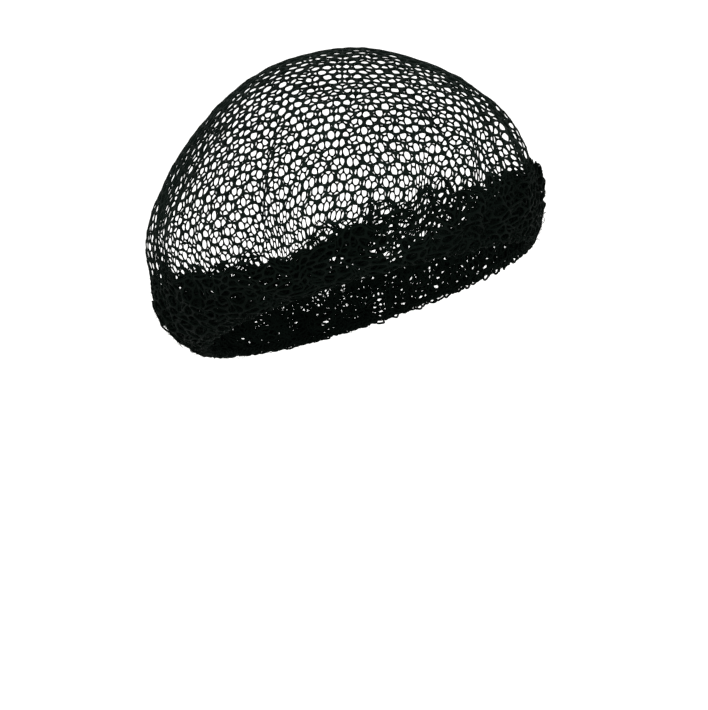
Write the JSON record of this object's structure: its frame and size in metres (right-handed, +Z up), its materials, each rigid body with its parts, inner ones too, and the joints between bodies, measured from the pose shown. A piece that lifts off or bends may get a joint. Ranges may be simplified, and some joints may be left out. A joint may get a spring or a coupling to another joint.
{
  "type": "knitted hairnet, in its worn form",
  "caption": "Worn knitted hairnet: an open hexagonal net dome over the crown, a gathered border and an elastic edge that slants down to the nape.",
  "frame": {"origin": "the middle of the elastic edge, above the ears, where the net sits on a head", "axes": "-Y to the wearer's front, +X to the wearer's left, +Z up"},
  "size_m": [0.1827, 0.2202, 0.2011],
  "materials": {
    "knitted_net": "soft black knitting yarn with a faint sheen",
    "gathered_net": "the same black net, bunched in several layers",
    "covered_elastic": "elastic thread covered in black yarn"
  },
  "bodies": {
    "root": {"net_crown": "knitted_net", "gathered_border": "gathered_net", "elastic_edge": "covered_elastic"}
  },
  "joints": []
}
